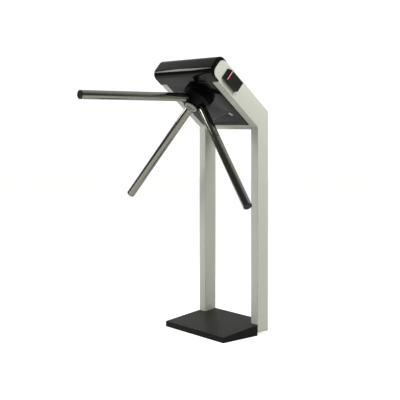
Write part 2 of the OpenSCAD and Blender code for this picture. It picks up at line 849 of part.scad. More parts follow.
// puts children at a reader: z out of the side frame, x up the slope, y across the head
module at_reader(side) {
    hub_space() mirror([side < 0 ? 1 : 0, 0, 0])
        translate([base_w / 2, -16.5, -reader_w - 23]) rotate([90, 0, 90]) children();
}

module reader_outline(g) {
    bevel = reader_t - 5;
    polygon([[g, 0], [g, reader_t - g], [reader_len - bevel * 0.92, reader_t - g],
        [reader_len - g, 5], [reader_len - g, 0]]);
}

module reader(side) {
    edge = reader_len - (reader_t - 5) * 0.92;
    color([0.05, 0.05, 0.05]) at_reader(side) difference() {
        rotate([90, 0, 0]) translate([0, 0, -reader_w]) linear_extrude(reader_w)
            reader_outline(0);
        rotate([90, 0, 0]) translate([0, 0, 2 - reader_w]) linear_extrude(reader_w - 4)
            difference() {
                reader_outline(2);
                translate([-1, -1]) square([reader_len + 2, 3]);
            }
        block([edge - 1 - strip_w, edge - 1], [1.5, reader_w - 1.5], reader_t - 1, reader_t + 1);
    }
}

module left_reader() {
    reader(-1);
}

module right_reader() {
    reader(1);
}

module light(side) {
    edge = reader_len - (reader_t - 5) * 0.92;
    color([0.95, 0.35, 0.38]) at_reader(side)
        block([edge - 1 - strip_w + 0.02, edge - 1.02], [1.52, reader_w - 1.52],
            reader_t - 1, reader_t + 0.2);
}

module left_light() {
    light(-1);
}

module right_light() {
    light(1);
}

left_frame();
right_frame();
floor_plate();
leg_spigots();
spigot_bolts();
base_cover();
base_cover_screws();
cable_gland();
crossbar();
front_cover();
back_cover();
back_cover_screws();
chassis_plate();
chassis_brackets();
chassis_screws();
drum_housing();
drum_screws();
bearing_outer_rings();
bearing_inner_rings();
bearing_balls();
rotor_shaft();
rotor_hub();
hub_bolt();
hub_cap();
arm_front();
arm_left();
arm_right();
arm_set_screws();
arm_end_caps();
rotor_gear();
locking_disc();
code_disc();
shaft_nut();
gearmotor();
motor_screws();
motor_pinion();
pawl_pins();
left_pawl();
right_pawl();
pawl_springs();
left_plunger();
right_plunger();
solenoids();
solenoid_brackets();
position_sensor();
control_board();
board_standoffs();
terminal_block();
power_supply();
lock_barrel();
lock_nut();
lock_plug();
lock_cam();
left_reader();
right_reader();
left_light();
right_light();
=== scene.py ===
# %% [markdown]
# # Dressing a visitor counter turnstile
# The engineering model of this turnstile is finished: every solid is the right size and
# in the right place, and the joints work. It still looks like a drawing. In this lesson
# the parts that a visitor sees are given softer edges, finer shapes and real finishes.
#
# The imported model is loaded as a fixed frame. New pieces are built around it, in metres
# and in the same space, and each one rides on one of the frame's moving bodies.

# %% Load the frame
import json
import math

import bmesh
import bpy
from mathutils import Matrix, Vector


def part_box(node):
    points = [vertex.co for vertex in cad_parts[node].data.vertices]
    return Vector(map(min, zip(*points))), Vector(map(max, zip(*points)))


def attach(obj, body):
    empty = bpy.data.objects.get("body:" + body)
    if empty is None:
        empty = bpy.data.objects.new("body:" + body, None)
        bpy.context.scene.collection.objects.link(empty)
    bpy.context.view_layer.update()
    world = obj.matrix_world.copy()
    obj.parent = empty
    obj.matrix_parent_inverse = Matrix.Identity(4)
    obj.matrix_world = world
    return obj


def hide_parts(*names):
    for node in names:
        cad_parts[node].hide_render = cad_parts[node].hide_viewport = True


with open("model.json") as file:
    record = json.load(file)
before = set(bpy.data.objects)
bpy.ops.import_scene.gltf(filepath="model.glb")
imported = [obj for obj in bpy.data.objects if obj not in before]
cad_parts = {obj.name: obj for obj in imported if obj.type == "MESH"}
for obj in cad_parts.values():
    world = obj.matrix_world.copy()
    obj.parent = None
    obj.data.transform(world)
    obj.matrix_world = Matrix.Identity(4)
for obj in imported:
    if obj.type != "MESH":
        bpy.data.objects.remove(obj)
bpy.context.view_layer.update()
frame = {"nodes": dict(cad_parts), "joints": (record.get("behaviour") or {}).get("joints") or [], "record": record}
nodes = frame["nodes"]

# %% [markdown]
# ## Measures
# Shapes are drawn in millimetres, as a workshop drawing is, and turned into metres when
# they are placed. The sizes come from the frame where it can give them. The head slopes,
# so it has a space of its own: x along the walking direction, y up the slope and z out
# of the head's face. The rotor's joint already knows that axis, so the space is built
# from the joint, and a shape drawn flat lands on the slope without any fitting.

# %% The head's own space
MM = 0.001
joints = {joint["name"]: joint for joint in frame["joints"]}
ROOT_Z = 12.6                       # the arms' axes meet this far out of the face
BAND = 81.0                         # depth of the head, square to its face
SLOPE = math.radians(40)
out = Vector(joints["rotor_turn"]["axis"]).normalized()
across = Vector((1, 0, 0))
up_slope = out.cross(across)
centre = Vector(joints["rotor_turn"]["pos_m"]) - out * ROOT_Z * MM
HEAD = Matrix((across, up_slope, out)).transposed().to_4x4()
HEAD.translation = centre

base_low, base_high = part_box("base_cover")
HALF_W = base_high.x / MM
HALF_D = base_high.y / MM
FRAME_T = (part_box("right_frame")[1].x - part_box("right_frame")[0].x) / MM
INNER_X = HALF_W - FRAME_T
print("half width", round(HALF_W, 1), "mm, side frame", round(FRAME_T, 1), "mm thick")

# %% [markdown]
# ## Camera
# A product portrait is usually taken from a little way off with a long lens, so that
# the upright legs stay upright. The camera here is level. Its picture plane is shifted
# down to bring the foot into view, the way an architect's camera does, because tilting
# the camera instead would make the legs lean together.

# %% Level camera with a downward shift
camera = bpy.data.cameras.new("portrait_camera")
camera.sensor_width = 36.0
camera.lens = 76.41
camera.shift_y = -0.1947
camera_object = bpy.data.objects.new("portrait_camera", camera)
camera_object.location = (2.47198, -2.16154, 0.80383)
camera_object.rotation_euler = (math.radians(90), 0, math.radians(49.92))
bpy.context.scene.collection.objects.link(camera_object)
bpy.context.scene.camera = camera_object
print("camera is", round((camera_object.location - centre).length, 2), "m from the rotor")

# %% [markdown]
# ## Wiring materials by hand
# Every finish below is a small network of shader nodes. Two helpers keep the cells
# short: one adds a node and plugs or sets its inputs, the other starts a material and
# hands back its tree and its Principled shader.

# %% Helpers for node networks
def add(tree, kind, inputs=None, **settings):
    node = tree.nodes.new(kind)
    for name, value in settings.items():
        setattr(node, name, value)
    for name, value in (inputs or {}).items():
        if isinstance(value, bpy.types.NodeSocket):
            tree.links.new(value, node.inputs[name])
        else:
            node.inputs[name].default_value = value
    return node


def new_material(name, **fixed):
    material = bpy.data.materials.new(name)
    material.use_nodes = True
    tree = material.node_tree
    shader = tree.nodes["Principled BSDF"]
    for socket, value in fixed.items():
        shader.inputs[socket.replace("_", " ")].default_value = value
    return material, tree, shader


def new_group(name, inputs, outputs):
    tree = bpy.data.node_groups.new(name, "ShaderNodeTree")
    for label, value in inputs.items():
        socket = tree.interface.new_socket(label, in_out="INPUT", socket_type="NodeSocketFloat")
        socket.default_value = value
    for label in outputs:
        tree.interface.new_socket(label, in_out="OUTPUT", socket_type="NodeSocketFloat")
    return tree, tree.nodes.new("NodeGroupInput"), tree.nodes.new("NodeGroupOutput")


def maths(tree, operation, a, b, clamp=False):
    node = add(tree, "ShaderNodeMath", {0: a, 1: b}, operation=operation, use_clamp=clamp)
    return node.outputs[0]


def remap(tree, value, low, high):
    node = add(tree, "ShaderNodeMapRange", {"Value": value, "To Min": low, "To Max": high})
    return node.outputs["Result"]


def bump(tree, shader, height, distance):
    node = add(tree, "ShaderNodeBump", {"Height": height, "Distance": distance, "Strength": 1.0})
    tree.links.new(node.outputs["Normal"], shader.inputs["Normal"])


print("helpers ready")

# %% [markdown]
# ## Shared effects
# Powder coat, cast metal and moulded plastic all have a fine grain. Corners get an edge
# mark: on the silver coat it is a painted shade line, on black paint partly wear and partly
# a painted highlight, on metal wear. Gloss paint gathers faint smears. Each of these is one
# shader group, made once, and every material sets its own amounts on the group's
# inputs. The groups read object coordinates, so the pattern stays on a part as it moves.

# %% Group: fine grain
grain, grain_in, grain_out = new_group("Fine grain", {"Size mm": 0.6, "Mottle mm": 40.0},
                                       ["Grain", "Mottle", "Flake"])
here = add(grain, "ShaderNodeTexCoord").outputs["Object"]
fine = add(grain, "ShaderNodeTexNoise", {
    "Vector": here, "Scale": maths(grain, "DIVIDE", 1000.0, grain_in.outputs["Size mm"]),
    "Detail": 2.0, "Roughness": 0.6})
broad = add(grain, "ShaderNodeTexNoise", {
    "Vector": here, "Scale": maths(grain, "DIVIDE", 1000.0, grain_in.outputs["Mottle mm"]),
    "Detail": 3.0, "Roughness": 0.5})
cells = add(grain, "ShaderNodeTexVoronoi", {
    "Vector": here, "Scale": maths(grain, "DIVIDE", 700.0, grain_in.outputs["Size mm"])})
lucky = add(grain, "ShaderNodeSeparateColor", {"Color": cells.outputs["Color"]})
grain.links.new(fine.outputs["Fac"], grain_out.inputs["Grain"])
grain.links.new(broad.outputs["Fac"], grain_out.inputs["Mottle"])
grain.links.new(lucky.outputs["Red"], grain_out.inputs["Flake"])
print("fine grain gives", [s.name for s in grain_out.inputs if s.name])

# %% [markdown]
# The edge mark needs to know where the edges are. A rounded normal differs from the true
# one only near a corner, so the difference between the two is an edge mask, and noise
# breaks it up into scuffs. Materials use it for wear and for painted light and shade on
# corners.

# %% Group: edge wear and painted edge light
# One edge mask serves real wear and painted light and shade on corners.
wear, wear_in, wear_out = new_group("Edge wear and light", {"Reach mm": 1.5, "Amount": 0.5}, ["Worn"])
rounded = add(wear, "ShaderNodeBevel",
              {"Radius": maths(wear, "MULTIPLY", wear_in.outputs["Reach mm"], MM)}, samples=4)
flat = add(wear, "ShaderNodeNewGeometry")
alike = add(wear, "ShaderNodeVectorMath",
            {0: rounded.outputs["Normal"], 1: flat.outputs["Normal"]}, operation="DOT_PRODUCT")
apart = maths(wear, "SUBTRACT", 1.0, alike.outputs["Value"])
edge = maths(wear, "MULTIPLY", apart, 8.0, clamp=True)
scuff = add(wear, "ShaderNodeTexNoise", {
    "Vector": add(wear, "ShaderNodeTexCoord").outputs["Object"], "Scale": 160.0, "Detail": 4.0})
broken = maths(wear, "MULTIPLY", edge, remap(wear, scuff.outputs["Fac"], -0.6, 1.9), clamp=True)
wear.links.new(maths(wear, "MULTIPLY", broken, wear_in.outputs["Amount"]), wear_out.inputs["Worn"])
print("edge wear ready")

# %% [markdown]
# Smears are soft patches where a cloth or a hand has passed. They change how sharp a
# reflection is and hardly change the colour, so this group only feeds roughness.
# Drawn and polished metal has fine lines in one direction: noise squeezed along one
# axis of the object gives those.

# %% Groups: smears and drawn lines
smear, smear_in, smear_out = new_group("Smears", {"Patch mm": 90.0}, ["Smear"])
warp = add(smear, "ShaderNodeTexNoise", {
    "Vector": add(smear, "ShaderNodeTexCoord").outputs["Object"],
    "Scale": maths(smear, "DIVIDE", 1000.0, smear_in.outputs["Patch mm"]),
    "Detail": 5.0, "Roughness": 0.65, "Distortion": 0.8})
smear.links.new(warp.outputs["Fac"], smear_out.inputs["Smear"])

lines, lines_in, lines_out = new_group("Drawn lines",
                                       {"Across per m": 900.0, "Along per m": 6.0}, ["Line"])
stretch = add(lines, "ShaderNodeCombineXYZ", {
    "X": lines_in.outputs["Across per m"], "Y": lines_in.outputs["Across per m"],
    "Z": lines_in.outputs["Along per m"]})
squeezed = add(lines, "ShaderNodeVectorMath", {
    0: add(lines, "ShaderNodeTexCoord").outputs["Object"], 1: stretch.outputs["Vector"]},
    operation="MULTIPLY")
streak = add(lines, "ShaderNodeTexNoise", {
    "Vector": squeezed.outputs["Vector"], "Scale": 1.0, "Detail": 3.0})
lines.links.new(streak.outputs["Fac"], lines_out.inputs["Line"])


def effect(tree, group, **values):
    node = add(tree, "ShaderNodeGroup", node_tree=group)
    for name, value in values.items():
        node.inputs[name.replace("_", " ")].default_value = value
    return node.outputs


print("groups:", [g.name for g in bpy.data.node_groups])

# %% [markdown]
# ## Silver powder coat
# The side frames are sheet steel with a fine-textured silver powder coat. It is a grey
# lacquer full of tiny metal flakes, so it is half way between paint and metal: soft
# highlights, a slight sparkle and a skin like very fine leather. A rounded corner mirrors
# the dim side of the studio as a thin dark line, and that line is painted in here as
# shade: the edge mask finds the corners, and this material darkens them to a grey.

# %% Silver powder coat
# Grey painted onto the rounded corners as a dark shade line.
PAINTED_EDGE_SHADE_GREY = (0.30, 0.31, 0.30, 1)


def tinted(tree, factor, dark, light):
    node = add(tree, "ShaderNodeMix", {0: factor}, data_type="RGBA")
    node.inputs[6].default_value = (*dark, 1)
    node.inputs[7].default_value = (*light, 1)
    return node.outputs[2]


def powder_coat(name, dark, light, metallic, rough, flake):
    material, tree, shader = new_material(name, Metallic=metallic)
    skin = effect(tree, grain, Size_mm=0.9, Mottle_mm=60.0)
    tone = maths(tree, "ADD", maths(tree, "MULTIPLY", skin["Grain"], 0.75),
                 maths(tree, "MULTIPLY", skin["Mottle"], 0.25))
    glint = maths(tree, "MULTIPLY", maths(tree, "GREATER_THAN", skin["Flake"], 0.9), flake)
    # Mask for the painted shade line along the corners.
    painted_edge_shade = effect(tree, wear, Reach_mm=5.0, Amount=0.8)["Worn"]
    shade = maths(tree, "ADD", tone, glint, clamp=True)
    coat = tinted(tree, shade, dark, light)
    mixed = add(tree, "ShaderNodeMix", {0: painted_edge_shade, 6: coat}, data_type="RGBA")
    mixed.inputs[7].default_value = PAINTED_EDGE_SHADE_GREY
    tree.links.new(mixed.outputs[2], shader.inputs["Base Color"])
    tree.links.new(remap(tree, skin["Grain"], rough - 0.07, rough + 0.07),
                   shader.inputs["Roughness"])
    bump(tree, shader, skin["Grain"], 0.00006)
    return material


silver_paint = powder_coat("silver_powder_coat", (0.60, 0.61, 0.555), (0.72, 0.73, 0.665),
                           metallic=0.2, rough=0.42, flake=0.3)
print("made", silver_paint.name)

# %% [markdown]
# ## Black finishes
# The head's nose is lacquered in gloss black and its flat face is a polished black
# sheet. The foot has a duller lacquer, because shoes scuff it. The drum and the rotor are
# smooth castings, and the covers that nobody looks at are satin. All of them share one
# recipe with different gloss, and the smears keep the gloss from looking perfect. The
# recipe lightens the edges a little: partly wear, partly a painted highlight along them.

# %% Black finishes
def black_finish(name, colour, gloss, level, size, depth):
    material, tree, shader = new_material(name, Specular_IOR_Level=level)
    skin = effect(tree, grain, Size_mm=size, Mottle_mm=120.0)
    # Lighter edges: partly wear, partly a painted highlight along the rounded edges.
    edge_wear_and_highlight = effect(tree, wear, Reach_mm=1.0, Amount=0.2)["Worn"]
    light = tuple(c * 1.9 + 0.003 for c in colour)
    shade = maths(tree, "ADD", maths(tree, "MULTIPLY", skin["Grain"], 0.3), edge_wear_and_highlight, clamp=True)
    tree.links.new(tinted(tree, shade, colour, light), shader.inputs["Base Color"])
    wiped = effect(tree, smear, Patch_mm=90.0)["Smear"]
    rough = maths(tree, "ADD", remap(tree, wiped, gloss * 0.7, gloss * 1.3),
                  maths(tree, "MULTIPLY", skin["Grain"], gloss * 0.2))
    tree.links.new(rough, shader.inputs["Roughness"])
    bump(tree, shader, skin["Grain"], depth)
    return material


gloss_black = black_finish("gloss_black_lacquer", (0.002, 0.002, 0.002),
                           gloss=0.10, level=0.38, size=2.5, depth=0.00001)
face_black = black_finish("polished_black_sheet", (0.002, 0.002, 0.002),
                          gloss=0.10, level=0.4, size=2.5, depth=0.000004)
foot_black = black_finish("foot_black_lacquer", (0.004, 0.004, 0.004),
                          gloss=0.30, level=0.20, size=2.0, depth=0.00001)
satin_black = black_finish("satin_black_sheet", (0.012, 0.012, 0.011),
                           gloss=0.42, level=0.35, size=0.7, depth=0.00004)
cast_black = black_finish("smooth_black_casting", (0.002, 0.002, 0.0025),
                          gloss=0.28, level=0.2, size=1.2, depth=0.00002)
black_plastic = black_finish("moulded_black_plastic", (0.010, 0.011, 0.011),
                             gloss=0.38, level=0.45, size=0.5, depth=0.00005)
print("black finishes ready")

# %% [markdown]
# ## Bright metals
# The arms are polished stainless tube. Nothing in the studio is sharp in them, only long
# bands of light and dark, because the tube is drawn lengthwise and its fine lines blur
# what it mirrors. The cap and the lock are turned and a little duller. Bought-in steel
# parts are plated or ground.

# %% Bright metals
LINE_SHADE = 0.88                   # how dark the bottom of a drawn line is


def metal_finish(name, colour, gloss, spread, across=900.0, along=6.0):
    material, tree, shader = new_material(name, Metallic=1.0)
    line = effect(tree, lines, Across_per_m=across, Along_per_m=along)["Line"]
    cloud = effect(tree, smear, Patch_mm=35.0)["Smear"]
    worn = effect(tree, wear, Reach_mm=0.6, Amount=0.3)["Worn"]
    shade = maths(tree, "ADD", maths(tree, "MULTIPLY", line, 0.7), worn, clamp=True)
    dark = tuple(c * LINE_SHADE for c in colour)
    tree.links.new(tinted(tree, shade, dark, colour), shader.inputs["Base Color"])
    rough = maths(tree, "ADD", remap(tree, line, gloss - spread, gloss + spread),
                  maths(tree, "MULTIPLY", cloud, spread))
    tree.links.new(rough, shader.inputs["Roughness"])
    return material


bright_tube = metal_finish("polished_stainless_tube", (0.48, 0.47, 0.42), 0.13, 0.015)
turned_metal = metal_finish("turned_cap_metal", (0.58, 0.59, 0.57), 0.28, 0.06, 500.0, 500.0)
slot_finish = {
    "silver_paint": silver_paint,
    "black_paint": satin_black,
    "black_casting": cast_black,
    "bright_tube": bright_tube,
    "cap_metal": turned_metal,
    "black_plastic": black_plastic,
    "dark_steel": metal_finish("blackened_steel", (0.16, 0.16, 0.17), 0.38, 0.06, 700.0, 700.0),
    "zinc_steel": metal_finish("zinc_plated_steel", (0.56, 0.57, 0.58), 0.34, 0.08, 240.0, 240.0),
    "ground_steel": metal_finish("ground_steel", (0.60, 0.61, 0.62), 0.20, 0.05, 1200.0, 40.0),
    "nickel": metal_finish("nickel_plate", (0.62, 0.60, 0.55), 0.16, 0.04, 600.0, 600.0),
    "brass": metal_finish("machined_brass", (0.64, 0.48, 0.22), 0.24, 0.06, 900.0, 60.0),
    "dark_housing": black_finish("dark_moulded_housing", (0.02, 0.02, 0.022),
                                 gloss=0.45, level=0.4, size=0.6, depth=0.00004),
}
print("finishes by slot:", len(slot_finish))

# %% [markdown]
# Two materials are left. The readers' light strips are pink-red acrylic, lit from
# behind, so they glow a little and scatter light under the surface. The circuit board
# is green resist over a woven glass sheet.

# %% Light strips and circuit board
strip_red, tree, shader = new_material("lit_red_strip", Subsurface_Weight=0.3,
                                       Emission_Strength=0.35)
frost = effect(tree, grain, Size_mm=0.5, Mottle_mm=9.0)
glow = tinted(tree, frost["Mottle"], (0.78, 0.16, 0.17), (1.0, 0.34, 0.34))
tree.links.new(glow, shader.inputs["Base Color"])
tree.links.new(glow, shader.inputs["Emission Color"])
tree.links.new(remap(tree, frost["Grain"], 0.2, 0.4), shader.inputs["Roughness"])
bump(tree, shader, frost["Grain"], 0.00005)

green_board, tree, shader = new_material("green_circuit_board", Coat_Weight=0.4)
weave = effect(tree, lines, Across_per_m=900.0, Along_per_m=900.0)["Line"]
resist = effect(tree, grain, Size_mm=1.2, Mottle_mm=15.0)
tree.links.new(tinted(tree, resist["Mottle"], (0.01, 0.09, 0.04), (0.02, 0.17, 0.08)),
               shader.inputs["Base Color"])
tree.links.new(remap(tree, weave, 0.3, 0.5), shader.inputs["Roughness"])
bump(tree, shader, weave, 0.00004)
slot_finish.update(red_lens=strip_red, green_board=green_board)
record_slots = [row["slot"] for row in frame["record"]["materials"]]
missing = [slot for slot in record_slots if slot not in slot_finish]
print("slots with no finish:", missing)

# %% [markdown]
# ## Drawing shapes
# Nearly every part of this machine is one of three things: a flat outline pushed
# through a thickness, a profile turned on a lathe, or a sheet with holes. One helper
# makes each kind. Corners are rounded while the outline is still flat, because a
# rounded outline gives a clean surface, with no modifier to tidy up after.

# %% Rounding the corners of an outline
def rounded_outline(points, radii, steps=6):
    """A closed outline with each corner rounded by its own radius."""
    made = []
    count = len(points)
    for i, point in enumerate(points):
        radius = radii[i] if isinstance(radii, (list, tuple)) else radii
        here = Vector(point)
        if radius <= 0:
            made.append(here)
            continue
        before = (Vector(points[i - 1]) - here).normalized()
        after = (Vector(points[(i + 1) % count]) - here).normalized()
        half = before.angle(after) / 2
        middle = here + (before + after).normalized() * (radius / math.sin(half))
        start = here + before * (radius / math.tan(half)) - middle
        turn = math.pi - 2 * half
        if before.x * after.y - before.y * after.x > 0:
            turn = -turn
        for k in range(steps + 1):
            made.append(middle + Matrix.Rotation(turn * k / steps, 2) @ start)
    return made


print("a rounded square has", len(rounded_outline([(0, 0), (9, 0), (9, 9), (0, 9)], 1)), "points")

# %% [markdown]
# `settle` is the last step for every piece: it scales millimetres to metres, shades the
# surface smooth except at true edges, gives it its finish, puts it on its body, and
# hides the solid of the frame that it stands for.

# %% Helpers that make and place a piece
def settle(name, shape, finish, body, replaces=(), place=None, angle=35):
    bmesh.ops.scale(shape, vec=(MM, MM, MM), verts=shape.verts)
    bmesh.ops.recalc_face_normals(shape, faces=shape.faces)
    mesh = bpy.data.meshes.new(name)
    shape.to_mesh(mesh)
    shape.free()
    mesh.polygons.foreach_set("use_smooth", [True] * len(mesh.polygons))
    mesh.set_sharp_from_angle(angle=math.radians(angle))
    mesh.materials.append(finish)
    piece = bpy.data.objects.new(name, mesh)
    bpy.context.scene.collection.objects.link(piece)
    if place is not None:
        piece.matrix_world = place
    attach(piece, body)
    if replaces:
        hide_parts(*replaces)
    return piece


def prism(outline, x0, x1, shape=None):
    """An outline in y and z, pushed along x."""
    shape = shape or bmesh.new()
    ends = [[shape.verts.new((x, u, v)) for u, v in outline] for x in (x0, x1)]
    for ring in ends:
        shape.faces.new(ring)
    count = len(outline)
    for i in range(count):
        j = (i + 1) % count
        shape.faces.new((ends[0][i], ends[0][j], ends[1][j], ends[1][i]))
    return shape


def lathe(profile, steps=96):
    """A closed profile in radius and height, turned about z."""
    shape = bmesh.new()
    rings = []
    for radius, height in profile:
        if radius < 1e-6:
            rings.append([shape.verts.new((0, 0, height))] * steps)
        else:
            rings.append([shape.verts.new((radius * math.cos(a), radius * math.sin(a), height))
                          for a in (math.tau * k / steps for k in range(steps))])
    for i, ring in enumerate(rings):
        above = rings[(i + 1) % len(rings)]
        for k in range(steps):
            corners = [ring[k], ring[(k + 1) % steps], above[(k + 1) % steps], above[k]]
            corners = [v for n, v in enumerate(corners) if v not in corners[:n]]
            if len(corners) > 2:
                shape.faces.new(corners)
    return shape


def bevelled(piece, width, segments, angle=35):
    modifier = piece.modifiers.new("soft edges", "BEVEL")
    modifier.width = width * MM
    modifier.segments = segments
    modifier.limit_method = "ANGLE"
    modifier.angle_limit = math.radians(angle)
    modifier.harden_normals = True
    return piece


def cut(piece, tool):
    """Takes the tool's volume out of the piece for good."""
    modifier = piece.modifiers.new("cut", "BOOLEAN")
    modifier.object = tool
    modifier.solver = "EXACT"
    bpy.context.view_layer.update()
    solved = piece.evaluated_get(bpy.context.evaluated_depsgraph_get())
    mesh = bpy.data.meshes.new_from_object(solved)
    piece.modifiers.clear()
    piece.data = mesh
    bpy.data.objects.remove(tool)
    return piece


def cutter(shape, place=None):
    """An object that only exists to be cut away from a piece."""
    bmesh.ops.scale(shape, vec=(MM, MM, MM), verts=shape.verts)
    bmesh.ops.recalc_face_normals(shape, faces=shape.faces)
    mesh = bpy.data.meshes.new("cutter")
    shape.to_mesh(mesh)
    shape.free()
    tool = bpy.data.objects.new("cutter", mesh)
    bpy.context.scene.collection.objects.link(tool)
    if place is not None:
        tool.matrix_world = place
    return tool


print("shape helpers ready")

# %% [markdown]
# ## Side frames
# Each side frame is one hollow sheet-steel member that climbs as a leg, turns at the
# elbow and runs up the slope as the side of the head. A folded and welded box has a
# small radius on its long front corners and a tighter one behind. A bevel modifier
# could do that, but where its bevel meets a square corner it pushes the corner out.
# Here the outline is drawn again and again, each time a little further in and a little
# further out along x, so every corner stays where it is.

# %% Rounded slab
NEARLY_STRAIGHT = 0.35              # below this turn two sides share one mean inset


def inset_outline(outline, amounts):
    """The outline with each side moved in by its own amount; side i starts at point i."""
    points = [Vector(point) for point in outline]
    count = len(points)
    area = sum(points[i - 1].x * points[i].y - points[i - 1].y * points[i].x
               for i in range(count))
    side = 1 if area > 0 else -1
    inward = []
    for i in range(count):
        run = (points[(i + 1) % count] - points[i]).normalized()
        inward.append(Vector((-run.y, run.x)) * side)
    moved = []
    for i, point in enumerate(points):
        n0, n1, a0, a1 = inward[i - 1], inward[i], amounts[i - 1], amounts[i]
        across = n0.x * n1.y - n0.y * n1.x
        if abs(across) < NEARLY_STRAIGHT:
            moved.append(point + (n0 + n1).normalized() * (a0 + a1) / 2)
        else:
            moved.append(point + Vector((a0 * n1.y - a1 * n0.y, a1 * n0.x - a0 * n1.x)) / across)
    return moved


def rounded_slab(outline, x0, x1, radius, shares, steps=5):
    """The outline pushed along x, with its end edges rounded by a share of the radius."""
    shape = bmesh.new()
    rings = []
    quarter = [math.pi / 2 * k / steps for k in range(steps + 1)]
    turns = [(x0 + radius * (1 - math.cos(a)), 1 - math.sin(a)) for a in quarter]
    turns += [(x0 + x1 - x, inset) for x, inset in reversed(turns)]
    for x, inset in turns:
        ring = inset_outline(outline, [radius * share * inset for share in shares])
        rings.append([shape.verts.new((x, point.x, point.y)) for point in ring])
    shape.faces.new(rings[0])
    shape.faces.new(rings[-1])
    for low, high in zip(rings, rings[1:]):
        for i in range(len(low)):
            j = (i + 1) % len(low)
            shape.faces.new((low[i], low[j], high[j], high[i]))
    return shape


print("slab helper ready")

# %% [markdown]
# The outline is written once for both frames, in the plane of the leg and the slope. The
# leg's front and rear come from the foot's depth, and the sloping part is placed with
# two measures: s, up the slope from the elbow, and d, in from the face. The share says
# how much of the corner radius each side gets.

# %% Two side frames
LEG_DEPTH = 55.0
LEG_FRONT = HALF_D - LEG_DEPTH
LEG_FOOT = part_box("right_frame")[0].z / MM
ELBOW = 785.0
HUB_S = 190.5
HEAD_LEN = 299.0
LIP_Y, LIP_T, TIP_R = 67.5, 4.0, 26.5
SIN, COS = math.sin(SLOPE), math.cos(SLOPE)
OUTER_ELBOW = ELBOW + (BAND - (HALF_D - LEG_FRONT) * SIN) / COS


def head_point(s, d):
    """A point of the head in y and z: s up the slope from the elbow, d in from the face."""
    return (LEG_FRONT - s * COS + d * SIN, ELBOW + s * SIN + d * COS)


frame_corners = [
    (LEG_FRONT, LEG_FOOT), (LEG_FRONT, ELBOW), head_point(HUB_S + LIP_Y, 0),
    head_point(HUB_S + LIP_Y, LIP_T), head_point(HEAD_LEN, LIP_T), head_point(HEAD_LEN, BAND),
    (HALF_D, OUTER_ELBOW), (HALF_D, LEG_FOOT)]
frame_outline = rounded_outline(frame_corners, [0, 2.5, 0, 0, TIP_R, TIP_R, 3.0, 0], 10)


def corner_share(i):
    """Share of the full corner radius along side i: full in front, tighter behind."""
    y, z = (Vector(frame_outline[i]) + Vector(frame_outline[(i + 1) % len(frame_outline)])) / 2
    s = (z - ELBOW) * SIN - (y - LEG_FRONT) * COS
    d = (z - ELBOW) * COS + (y - LEG_FRONT) * SIN
    if z < LEG_FOOT + 0.1:
        return 0.0
    if s > HUB_S + LIP_Y - 0.1:
        return 0.15
    return 1.0 if d < 1 or y < LEG_FRONT + 1 else 0.6


shares = [corner_share(i) for i in range(len(frame_outline))]
for label, x0, x1 in (("left", -HALF_W, -INNER_X), ("right", INNER_X, HALF_W)):
    settle(label + "_side_member", rounded_slab(frame_outline, x0, x1, 1.6, shares),
           silver_paint, "stand", [label + "_frame"])
print("side frames have", len(frame_outline), "points round the outline")

# %% [markdown]
# ## Crossbar
# A folded bar closes the lower end of the head between the two frames. It has a front
# lip that follows the slope, so the light catches it as two narrow bands, one for the
# lip and one for the upright face under it.

# %% Crossbar
BAR_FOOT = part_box("crossbar")[0].z / MM
bar_outline = [(LEG_FRONT, BAR_FOOT), (LEG_FRONT, ELBOW), head_point(14, 0), head_point(14, 3),
               (LEG_FRONT + 6, ELBOW + 3), (HALF_D, ELBOW + 3), (HALF_D, BAR_FOOT)]
bar_outline = rounded_outline(bar_outline, [1.2, 1.2, 0.6, 0.6, 0.6, 1.2, 1.2], 4)
shape = prism(bar_outline, -INNER_X, INNER_X)
settle("crossbar_fold", shape, silver_paint, "stand", ["crossbar"])

# %% [markdown]
# ## Nose
# The top of the head is one thick moulded skin bent round in two wide bends, from the lip
# on the face, over the end of both side frames, to the back. It is drawn as a side
# outline. Its ends are rounded over by a few millimetres with the same slab helper as
# the frames, and that small radius draws a thin rim of light at each end.

# %% Nose over the frames
FACE_T = 2.0                        # the skin stands this far out of the face
REAR_T = 3.0                        # and this far out behind
GAP = 0.5                           # between the skin and the frames inside it
NOSE_R = 28.0
NOSE_TOP = HEAD_LEN - HUB_S + 17.5
REAR_LIP = 84.0
tip_top = HEAD_LEN - HUB_S + GAP
nose_corners = [
    (LIP_Y, FACE_T), (NOSE_TOP, FACE_T), (NOSE_TOP, -BAND - REAR_T), (REAR_LIP, -BAND - REAR_T),
    (REAR_LIP, -BAND - GAP), (tip_top, -BAND - GAP), (tip_top, GAP - LIP_T), (LIP_Y, GAP - LIP_T)]
nose_outline = rounded_outline(nose_corners, [1.2, NOSE_R, NOSE_R, 1.0, 0, 24, TIP_R, 1.2], 18)


def nose_share(i):
    """Full rounding on the outside of the bends, hardly any inside."""
    y, z = (Vector(nose_outline[i]) + Vector(nose_outline[(i + 1) % len(nose_outline)])) / 2
    outside = z > FACE_T - 0.4 or z < -BAND - 2.6 or y > tip_top + 0.3
    if not outside:
        outside = y > NOSE_TOP - NOSE_R and min(
            abs(math.hypot(y - NOSE_TOP + NOSE_R, z - c) - NOSE_R)
            for c in (FACE_T - NOSE_R, NOSE_R - BAND - REAR_T)) < 0.5
    return 1.0 if outside else 0.1


shares = [nose_share(i) for i in range(len(nose_outline))]
shape = rounded_slab(nose_outline, -HALF_W, HALF_W, 3.0, shares, 6)
settle("head_nose", shape, gloss_black, "stand", ["front_cover"], HEAD)
print("nose reaches", round((HEAD @ Vector((0, NOSE_TOP * MM, 0))).z, 3), "m")

# %% [markdown]
# ## Face sheet
# The face of the head is a flat sheet with a large hole for the drum and a small one for
# the key lock. A boolean cut would work, but a filled 2D curve does it with less: the
# outer loop and the holes are three splines, extrusion gives the thickness, and a
# negative offset with a bevel rounds every edge and keeps the size.

